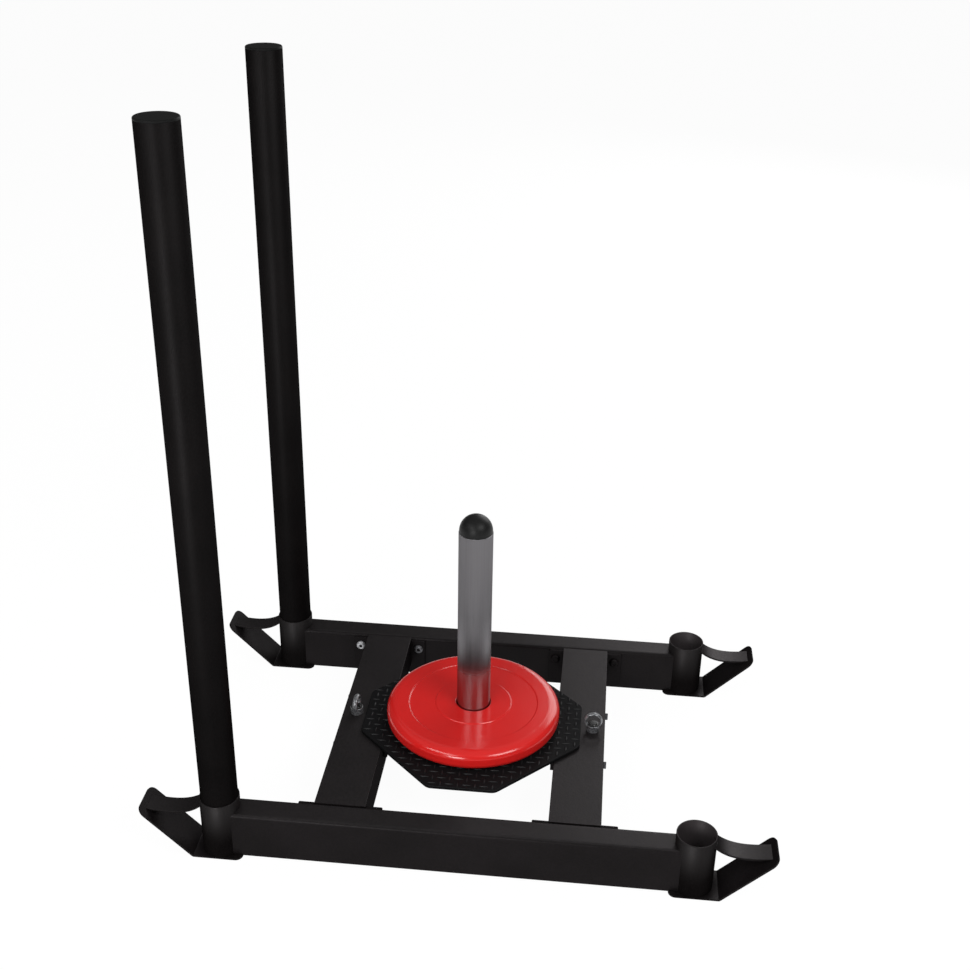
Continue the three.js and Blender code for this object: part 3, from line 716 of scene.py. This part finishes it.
# The upper face follows a cubic curve from the socket's wall to the ramp, run out straight past both; the
# lower face is that curve less thickness times its normal. Each column starts on the round wall, x =
# sqrt(r^2 - across^2), and ends where the second half of its path, from point tipHalf on, crosses the
# ramp's line.
def makeStraps(s):
    slope, thick = math.sqrt(0.5), shoe["thickness"]
    tipAlong = shoe["ramp"] - s["inset"]
    rampTop = np.array([shoe["bend"] + slope * (tipAlong - thick), slope * (tipAlong + thick)])
    start = np.array([socket["outer"], s["top"]])
    angles = np.radians([-s["rootAngle"], s["tipAngle"]])
    rootWay, tipWay = np.stack([np.cos(angles), np.sin(angles)], -1)
    span = np.linalg.norm(rampTop - start)
    rootShare, tipShare = s["handles"]
    handles = [start, start + rootWay * rootShare * span, rampTop - tipWay * tipShare * span, rampTop]
    t = np.linspace(0, 1, 60)[:, None]
    shares = [(1 - t) ** 3, 3 * t * (1 - t) ** 2, 3 * t ** 2 * (1 - t), t ** 3]
    curve = sum(share * handle for share, handle in zip(shares, handles))
    curve = np.concatenate([[start - s["runOut"] * rootWay], curve, [rampTop + s["runOut"] * tipWay]])
    ways = np.gradient(curve, axis=0)
    ways[:2], ways[-2:] = rootWay, tipWay
    ways /= np.linalg.norm(ways, axis=1, keepdims=True)
    under = curve + s["thickness"] * np.stack([ways[:, 1], -ways[:, 0]], -1)
    across = np.linspace(-s["width"] / 2, s["width"] / 2, 11)
    wallX = np.sqrt(s["wallRadius"] ** 2 - across ** 2)
    line = rampTop[0] - rampTop[1]

    def face(path):
        rootAt = np.interp(wallX, path[:, 0], np.arange(len(path)))
        beyond = path[:, 0] - path[:, 1] - line
        tipAt = np.interp(0, beyond[s["tipHalf"]:], np.arange(s["tipHalf"], len(path)))
        place = rootAt[None] + (tipAt - rootAt[None]) * np.linspace(0, 1, 40)[:, None]
        index = np.arange(len(path))
        x, z = np.interp(place, index, path[:, 0]), np.interp(place, index, path[:, 1])
        return np.stack([x, np.broadcast_to(across, x.shape), z], -1)

    grid = np.concatenate([face(under), face(curve)[:, ::-1]], 1)
    rows, columns = grid.shape[:2]
    first, last = np.arange(columns)[::-1], np.arange(columns) + columns * (rows - 1)
    strip = grid.reshape(-1, 3), gridQuads(rows, columns, False, True), [first, last]
    addAtSockets("strap", strip, bevel=s["softEdge"])


makeStraps(strap)
print("straps made")


# Push poles and their caps
pole = {
    "radius": 26,
    "wall": 2.5,
    "foot": 3.3,
    "top": 1021.2,
    "rim": 0.4,
}


# A piece of a pole, set upright in each rear socket
def addAtPoles(name, surface, stands, **more):
    for side, sign in sides.items():
        addPiece(name + side.title(), [surface], f"{stands}_{side}", body=f"pole_{side}",
                 at=(-socket["x"], sign * socket["y"], 0), **more)


# A tube with a rounded rim
def makePoles(p):
    outside = arc((p["radius"] - p["rim"], p["top"] - p["rim"]), p["rim"], 0, 90, 3)
    bore = p["radius"] - p["wall"]
    tube = turned([(p["radius"], p["foot"]), *outside, (bore, p["top"]), (bore, p["foot"])], 128, closed=True)
    addAtPoles("pole", tube, "pole", finish="pole_coat")


poleCap = {
    "radius": 26,
    "foot": 1021.25,
    "top": 1024.5,
    "edge": 2,
    "plug": 23.1,
    "plugDepth": 16,
}


# The cap's profile: up the plug, out under the flange, round its edge and in to the middle
def makePoleCaps(c):
    edge = arc((c["radius"] - c["edge"], c["top"] - c["edge"]), c["edge"], 0, 90, 6)
    foot = c["foot"] - c["plugDepth"]
    profile = [(0, foot), (c["plug"], foot), (c["plug"], c["foot"]), (c["radius"], c["foot"]), *edge,
               (c["radius"] - c["edge"] - holdGap, c["top"]), (0, c["top"])]
    addAtPoles("poleCap", turned(profile, 128), "pole_cap", slot="black_plastic", finish="cap_plastic")


makePoles(pole)
makePoleCaps(poleCap)
print("poles made")


# Crossbeams and flanges
beam = {
    "x": 165,
    "width": 73.5,
    "height": 50,
    "wall": 3,
    "corner": 0.8,
    "boreCorner": 0.4,
    "top": 73.5,
    "endY": 215.2,
}


# A rectangular tube: one rounded oblong inside another, drawn out along Y
def makeBeams(b):
    width, height, walls = b["width"], b["height"], 2 * b["wall"]
    outer, _ = roundedLoop(oblong(width, height), b["corner"], 7)
    inner, _ = roundedLoop(oblong(width - walls, height - walls), b["boreCorner"], 7)
    bar = hollowBar(outer, inner, (-b["endY"], b["endY"]), (-b["endY"], b["endY"]))
    for end, sign in ends.items():
        addPiece("beam" + end.title(), [bar], f"beam_{end}", at=(sign * b["x"], 0, b["top"] - height / 2),
                 turn=(0, 0, 90))


flange = {
    "width": 120,
    "height": 60,
    "corner": 2,
    "top": 70.5,
    "innerY": 210.2,
    "outerY": 215.5,
    "edge": 0.6,
}


# A plate stood upright against the rail, with the beam's end run up to it
def makeFlanges(f):
    sheet = plate(oblong(f["width"], f["height"]), f["corner"], f["innerY"], f["outerY"], f["edge"])
    for tag, title, end, side in cornerTags():
        addPiece("flange" + title, [sheet], f"flange_{tag}", finish="flange_coat",
                 at=(end * beam["x"], 0, f["top"] - f["height"] / 2), turn=(-90 * side, 0, 0))


makeBeams(beam)
makeFlanges(flange)
print("beams made")


# Bolts and nuts
buttonBolt = {
    "x": (-49.6, 48.4),
    "z": 55.2,
    "seatY": 210.2,
    "radius": 7.6,
    "height": 4.4,
    "rim": 1.2,
    "domeAngle": 52,
    "key": 3.1,
    "keyChamfer": 0.3,
    "keyDepth": 2.6,
    "keyPoint": 0.6,
    "dirt": 1.6,
    "dirtGap": (0.05, 0.1, 0.3),
}


# Button head: a dome over a short rim, r = R cos a and z = rim + rise sin a, up to a flat with a hexagon
# key. A dark plug, painted shade, fills the key's foot, with small gaps to its sides, its foot and its
# drilled point.
def makeButtonBolts(b):
    rise = b["height"] - b["rim"]
    a = np.radians(np.linspace(0, b["domeAngle"], 9))
    dome = np.stack([b["radius"] * np.cos(a), b["rim"] + rise / math.sin(a[-1]) * np.sin(a)], -1)
    keyFoot, cut = b["height"] - b["keyDepth"], b["keyChamfer"]
    key = [(b["key"] + cut, b["height"]), (b["key"], b["height"] - cut), (b["key"], keyFoot),
           (0, keyFoot - b["keyPoint"])]
    profile = np.concatenate([[(0, 0), (b["radius"], 0)], dome, key])
    share = np.concatenate([np.zeros(len(dome) + 3), [1, 1, 0]])
    head = turned(profile, 60, share)
    besideKey, overFoot, overPoint = b["dirtGap"]
    plugRadius, plugTop = b["key"] - besideKey, keyFoot + b["dirt"]
    plug = [(0, keyFoot - overPoint), (plugRadius, keyFoot + overFoot), (plugRadius, plugTop), (0, plugTop)]
    dirt = turned(plug, 60, [0, 1, 1, 0])
    for tag, title, end, side in cornerTags():
        for number, x in zip((1, 2), b["x"]):
            place = {"at": (end * (beam["x"] + x), side * b["seatY"], b["z"]), "turn": (90 * side, 0, 0)}
            slot = "black_coat" if end > 0 else "zinc_plate"
            # At the rear one bolt of each pair gets the paler zinc, painted light, and the other the dulled
            # zinc, painted shade.
            finish = "flange_coat" if end > 0 else ("bolt_zinc", "lit_bolt_zinc")[number - 1]
            addPiece(f"bolt{title}{number}", [head], f"bolt_{tag}_{number}", slot, finish=finish, **place)
            # A dark plug in the key: painted shade.
            addPiece(f"dirt{title}{number}", [dirt], None, finish="flange_coat", **place)


throughBolt = {
    "y": 60,
    "z": 55,
    "headX": 36.75,
    "head": 5.6,
    "headHeight": 4.3,
    "cornerCut": (0.5, 0.6),
    "flatShare": 0.866,
    "shank": 3,
    "shankCut": 0.5,
    "tipX": -50.45,
    "nutX": (-41.75, -47.4),
}


# Hexagon head or nut: a hexagon's prism whose foot and top narrow to the circle inside it, of radius R cos 30
def hexagonHead(b, height, hole=0.0):
    radius, flat = b["head"], b["flatShare"] * b["head"]
    low, high = b["cornerCut"]
    profile = [(hole, 0), (flat, 0), (radius, low), (radius, height - high), (flat, height), (hole, height)]
    return turned(profile, 48, [0, 0, 1, 1, 0, 0], closed=bool(hole))


# A head on the beam's outer side, a plain shank through beam and angle, and a nut on its end
def makeThroughBolts(b):
    head, nut = hexagonHead(b, b["headHeight"]), hexagonHead(b, b["nutX"][0] - b["nutX"][1], b["shank"])
    length, cut = b["headX"] - b["tipX"], b["shankCut"]
    shank = turned([(0, 0), (b["shank"] - cut, 0), (b["shank"], cut), (b["shank"], length), (0, length)], 24)
    for tag, title, end, side in cornerTags():
        headAt, tipAt, nutAt = ((end * (beam["x"] + x), side * b["y"], b["z"])
                                for x in (b["headX"], b["tipX"], b["nutX"][1]))
        outward = (0, 90 * end, 0)
        bolt = [moved(head, headAt, outward), moved(shank, tipAt, outward)]
        addPiece("beamBolt" + title, bolt, f"beam_bolt_{tag}", "zinc_plate", finish="bolt_zinc")
        addPiece("beamNut" + title, [nut], f"beam_nut_{tag}", "zinc_plate", finish="bolt_zinc",
                 at=nutAt, turn=outward)


makeButtonBolts(buttonBolt)
makeThroughBolts(throughBolt)
print("bolts made")


# Tread plate
treadPlate = {
    "x": 165,
    "y": 166,
    "chamfer": 116,
    "corner": 15,
    "low": 73.5,
    "ground": 78.5,
    "edge": 0.8,
    "bore": 25.4,
    "pitch": 12.5,
    "phase": (7.1, 3.9),
    "across": 15,
    "margin": 0.9,
    "barLength": 14.5,
    "barWidth": (3.0, 4.2),
    "barBend": (3, 2),
    "barRise": 1.1,
    "barRoot": 0.3,
    "barPoint": 0.4,
    "rings": (1.0, 0.93, 0.6, 0.0),
    "around": 12,
    "sharp": 40,
}


# Raised bars stand on a square grid, every other one turned by 90 degrees. A bar's plan is a lens, x =
# length / 2 cos t and y = width / 2 sin t |sin t|^point, its height is rise (1 - s^bend), where s runs from
# its middle to its rim, and points past the plate's side are drawn back. The turned bars are wider and
# rounder, as the rolls left them.
def makeTreadPlate(p):
    x, y, cut = p["x"], p["y"], p["chamfer"]
    corners = [(x, y - cut), (x - cut, y), (cut - x, y), (-x, y - cut),
               (-x, cut - y), (cut - x, -y), (x - cut, -y), (x, cut - y)]
    base = plate(corners, p["corner"], p["low"], p["ground"], p["edge"], p["bore"])
    steps = np.arange(-p["across"], p["across"] + 1)
    i, j = (grid.reshape(-1) for grid in np.meshgrid(steps, steps))
    middle = np.stack([p["phase"][0] + p["pitch"] * i, p["phase"][1] + p["pitch"] * j], -1)
    normal = np.array([(1, 0), (0, 1), (-1, 0), (0, -1), (1, 1), (-1, 1), (-1, -1), (1, -1)], float)
    normal /= np.linalg.norm(normal, axis=1, keepdims=True)
    reach = np.array([x, y, x, y] + [(x + y - cut) * math.sqrt(0.5)] * 4) - p["margin"]
    rim = p["bore"] + p["barLength"] / 2
    kept = ((middle @ normal.T) < reach).all(axis=1) & (np.linalg.norm(middle, axis=1) > rim)
    middle, turnedBar = middle[kept], ((i + j) % 2 == 0)[kept]
    around, ringShare = p["around"], np.array(p["rings"])
    t = np.arange(around) * 2 * math.pi / around
    lens = np.stack([np.cos(t) * p["barLength"] / 2, np.sin(t) * np.abs(np.sin(t)) ** p["barPoint"] / 2], -1)
    flat, wide = (ringShare[:, None, None] * lens[None] * (1, width) for width in p["barWidth"])
    bend = np.where(turnedBar, p["barBend"][1], p["barBend"][0])
    climb = p["barRise"] * (1 - ringShare[None] ** bend[:, None])
    climb[:, 0] = -p["barRoot"]
    crossed = np.stack([-wide[..., 1], wide[..., 0]], -1)
    plan = np.where(turnedBar[:, None, None, None], crossed[None], flat[None]) + middle[:, None, None]
    over = np.maximum(plan @ normal.T - reach, 0)
    plan = plan - over @ normal
    height = np.broadcast_to((p["ground"] + climb)[:, :, None, None], plan.shape[:3] + (1,))
    bars = np.concatenate([plan, height], -1)
    quads = gridQuads(len(ringShare), around, False, True)
    offset = len(ringShare) * around * np.arange(len(bars))[:, None, None]
    feet = list(offset[:, 0] + np.arange(around)[::-1])
    surface = bars.reshape(-1, 3), (quads[None] + offset).reshape(-1, 4), feet
    addPiece("treadPlate", [base, surface], "tread_plate", "tread_coat", sharp=p["sharp"])
    return len(bars)


print("tread plate made, bars:", makeTreadPlate(treadPlate))


# Weight post, cap and disc
post = {
    "radius": 25,
    "wall": 3,
    "foot": 68.2,
    "top": 405,
    "chamfer": 0.7,
}


# An open tube whose outer rim is cut at 45 degrees
def makePost(p):
    bore, edge = p["radius"] - p["wall"], p["radius"] - p["chamfer"]
    tube = turned([(p["radius"], p["foot"]), (p["radius"], p["top"] - p["chamfer"]), (edge, p["top"]),
                   (bore, p["top"]), (bore, p["foot"])], 160, closed=True)
    addPiece("weightPost", [tube], "post", "chrome_plate")


postCap = {
    "radius": 24.3,
    "foot": 405.05,
    "skirt": 2.25,
    "skirtEdge": 0.4,
    "plug": 21.6,
    "plugDepth": 20,
}


# Dome: r = R cos a, z = skirt + R sin a, on a short skirt over its plug
def makePostCap(c):
    dome = arc((0, c["foot"] + c["skirt"]), c["radius"], 0, 90, 24)
    dome[-1, 0] = 0
    foot, edge = c["foot"] - c["plugDepth"], c["skirtEdge"]
    below = [(0, foot), (c["plug"], foot), (c["plug"], c["foot"]), (c["radius"] - edge, c["foot"]),
             (c["radius"], c["foot"] + edge)]
    profile = np.concatenate([below, dome])
    addPiece("postCap", [turned(profile, 128)], "post_cap", "black_plastic")


disc = {
    "radius": 131.4,
    "low": 79.9,
    "top": 110.9,
    "edge": (16.2, 12.2),
    "bore": 26.2,
    "boreChamfer": 1.3,
    "steps": (57.5, 97.5),
    "stepWidth": 1.9,
    "recess": 1.3,
}


# The rim is half a flattened ellipse, r = R - a (1 - cos t) and z = b sin t on each face. Between the rim
# and the hub the upper face lies a little lower, and each step down to it is half a cosine wave.
def makeDisc(d):
    wide, tall = d["edge"]
    t = np.radians(np.linspace(0, 90, 17))
    shoulder = np.stack([d["radius"] - wide * (1 - np.cos(t)), tall * np.sin(t)], -1)
    under = np.stack([shoulder[::-1, 0], d["low"] + tall - shoulder[::-1, 1]], -1)
    over = np.stack([shoulder[:, 0], d["top"] - tall + shoulder[:, 1]], -1)
    s = np.linspace(0, 1, 11)
    depth = d["recess"] * (1 - np.cos(s * math.pi)) / 2
    hub, border = d["steps"]
    inward = d["stepWidth"] * (0.5 - s)
    down = np.stack([border + inward, d["top"] - depth], -1)
    back = np.stack([hub + inward, d["top"] - depth[::-1]], -1)
    beside = np.array([holdGap, 0])
    face = np.concatenate([[down[0] + beside], down, [down[-1] - beside],
                           [back[0] + beside], back, [back[-1] - beside]])
    bore, cut = d["bore"], d["boreChamfer"]
    mouth = arc((bore + cut, d["top"] - cut), cut, 90, 180, 5)
    foot = arc((bore + cut, d["low"] + cut), cut, 180, 270, 5)
    start, lip = ([(bore + cut + holdGap, z)] for z in (d["low"], d["top"]))
    rim = [[under[0] - beside], under, over, [over[-1] - beside]]
    profile = np.concatenate([start, *rim, face, lip, mouth, foot])
    addPiece("redDisc", [turned(profile, 192, closed=True)], "weight_plate", "red_enamel", "disc")


makePost(post)
makePostCap(postCap)
makeDisc(disc)
print("post, cap and disc made")


# Lifting eyes
eye = {
    "x": {"front": 183.4, "rear": 180.6},
    "foot": 73.5,
    "ringRadius": 11.8,
    "ringThick": 2.1,
    "ringDeep": 3.5,
    "ringHeight": 17.0,
    "collar": 9.6,
    "collarHeight": 11,
    "collarEdge": 1.6,
    "neck": ((6.2, 11.2), (5.2, 12.2), (0, 12.5)),
    "stem": 5,
    "stemDepth": 12,
    "turn": {"front": 2, "rear": 86},
}


# A forged ring on a turned stem: a round collar with a rounded upper edge, and a low neck under the ring
def makeEyes(e):
    edge = e["collarEdge"]
    collar = arc((e["collar"] - edge, e["collarHeight"] - edge), edge, 0, 90, 5)
    foot = [(0, -e["stemDepth"]), (e["stem"], -e["stemDepth"]), (e["stem"], 0), (e["collar"], 0)]
    stem = turned([*foot, *collar, *e["neck"]], 48)
    hoop = moved(ring(e["ringRadius"], e["ringThick"], e["ringDeep"]), (0, 0, e["ringHeight"]))
    for end, sign in ends.items():
        place = {"at": (sign * e["x"][end], 0, e["foot"]), "turn": (0, 0, e["turn"][end])}
        addPiece("eyeBolt" + end.title(), [stem], f"eye_bolt_{end}", "zinc_plate", finish="collar_zinc",
                 **place)
        addPiece("eyeRing" + end.title(), [hoop], None, "zinc_plate", **place)


makeEyes(eye)
print("lifting eyes made")

# Carriage under the tread plate
angle = {
    "x": 127.95,
    "top": 73.5,
    "leg": 30,
    "thickness": 5,
    "fillet": 4,
    "length": 134,
    "softEdge": 0.6,
}


# An L section in XZ, rounded in its inner corner by an arc, drawn out along Y
def makeAngles(a):
    leg, thick, fillet = a["leg"], a["thickness"], a["fillet"]
    inner = arc((-thick - fillet, -thick - fillet), fillet, 90, 0)
    section = np.concatenate([[(0, -leg), (0, 0), (-leg, 0), (-leg, -thick)], inner, [(-thick, -leg)]])
    count = len(section)
    rows = [np.insert(section, 1, y, axis=1) for y in (a["length"] / 2, -a["length"] / 2)]
    caps = [np.arange(count)[::-1], np.arange(count) + count]
    bar = np.concatenate(rows), gridQuads(2, count, False, True), caps
    for end, sign in ends.items():
        addPiece("angle" + end.title(), [bar], f"angle_{end}", at=(sign * a["x"], 0, a["top"]),
                 turn=(0, 0, 0 if sign > 0 else 180), bevel=a["softEdge"])


makeAngles(angle)
print("angles made")

# The spine under the plate keeps its own solid
nodes["spine"].material_slots[0].material = finishes["black_coat"]


# Studio
studio = {
    "target": (0, 0, 100),
    "world": 0.1,
    "floorSize": 60000,
    "floorZ": -0.4,
    "floorTone": "#e9e9e9",
    "floorGlow": 0.965,
    "floorCatch": 0.05,
}
softboxes = {
    "keyRight": {"azimuth": 130, "elevation": 45, "distance": 3000, "size": (1500, 800), "glow": 8.6},
    "keyLeft": {"azimuth": -138, "elevation": 44, "distance": 3000, "size": (1900, 650), "glow": 5.6},
    "lowFront": {"azimuth": -165, "elevation": 17, "distance": 3400, "size": (1000, 1000), "glow": 12.6},
    "backRight": {"azimuth": 24, "elevation": 25, "distance": 4000, "size": (2700, 2200), "glow": 3.15},
    "overhead": {"azimuth": 0, "elevation": 90, "distance": 2600, "size": (5200, 5200), "glow": 0.26},
}


# A softbox's power is its glow times pi times its area; azimuth turns from +Y towards +X
def makeSoftbox(name, b):
    az, el = math.radians(b["azimuth"]), math.radians(b["elevation"])
    out = Vector((math.sin(az) * math.cos(el), math.cos(az) * math.cos(el), math.sin(el)))
    data = bpy.data.lights.new(name, "AREA")
    data.shape = "RECTANGLE"
    data.size, data.size_y = (length * mm for length in b["size"])
    data.energy = b["glow"] * math.pi * data.size * data.size_y
    lamp = bpy.data.objects.new(name, data)
    lamp.location = (Vector(studio["target"]) + out * b["distance"]) * mm
    lamp.rotation_euler = (-out).to_track_quat("-Z", "Y").to_euler()
    lamp.visible_camera = False
    bpy.context.scene.collection.objects.link(lamp)


# The floor reads white to the eye, to metal and to glass, and still catches the sled's shadow
def paleFloor(tree, s):
    seen = addNode(tree, "ShaderNodeLightPath")
    camera, glossy = seen.outputs["Is Camera Ray"], seen.outputs["Is Glossy Ray"]
    direct = addNode(tree, "ShaderNodeMath", {0: camera, 1: glossy}, operation="MAXIMUM")
    through = addNode(tree, "ShaderNodeMath", {0: direct, 1: seen.outputs["Is Transmission Ray"]},
                      operation="MAXIMUM")
    matte = addNode(tree, "ShaderNodeBsdfDiffuse", {"Color": tone(s["floorTone"])})
    catch = addNode(tree, "ShaderNodeBsdfDiffuse", {"Color": (s["floorCatch"],) * 3 + (1,)})
    white = addNode(tree, "ShaderNodeEmission", {"Strength": s["floorGlow"]})
    both = addNode(tree, "ShaderNodeAddShader", {0: white, 1: catch})
    return addNode(tree, "ShaderNodeMixShader", {0: through, 1: matte, 2: both})


def makeStudio(s):
    world = bpy.data.worlds.new("softRoom")
    world.use_nodes = True
    world.node_tree.nodes.clear()
    glow = addNode(world.node_tree, "ShaderNodeBackground", {"Color": (1, 1, 1, 1), "Strength": s["world"]})
    addNode(world.node_tree, "ShaderNodeOutputWorld", {"Surface": glow})
    bpy.context.scene.world = world

    half = s["floorSize"] / 2
    mesh = bpy.data.meshes.new("floor")
    corners = [(x, y, s["floorZ"]) for x, y in ((-half, -half), (half, -half), (half, half), (-half, half))]
    mesh.from_pydata(np.array(corners) * mm, [], [(0, 1, 2, 3)])
    mesh.materials.append(makeMaterial("paleFloor", paleFloor, s))
    floor = bpy.data.objects.new("floor", mesh)
    bpy.context.scene.collection.objects.link(floor)


for name, box in softboxes.items():
    makeSoftbox(name, box)
makeStudio(studio)
bpy.context.scene.view_settings.view_transform = "Standard"
print("studio made")
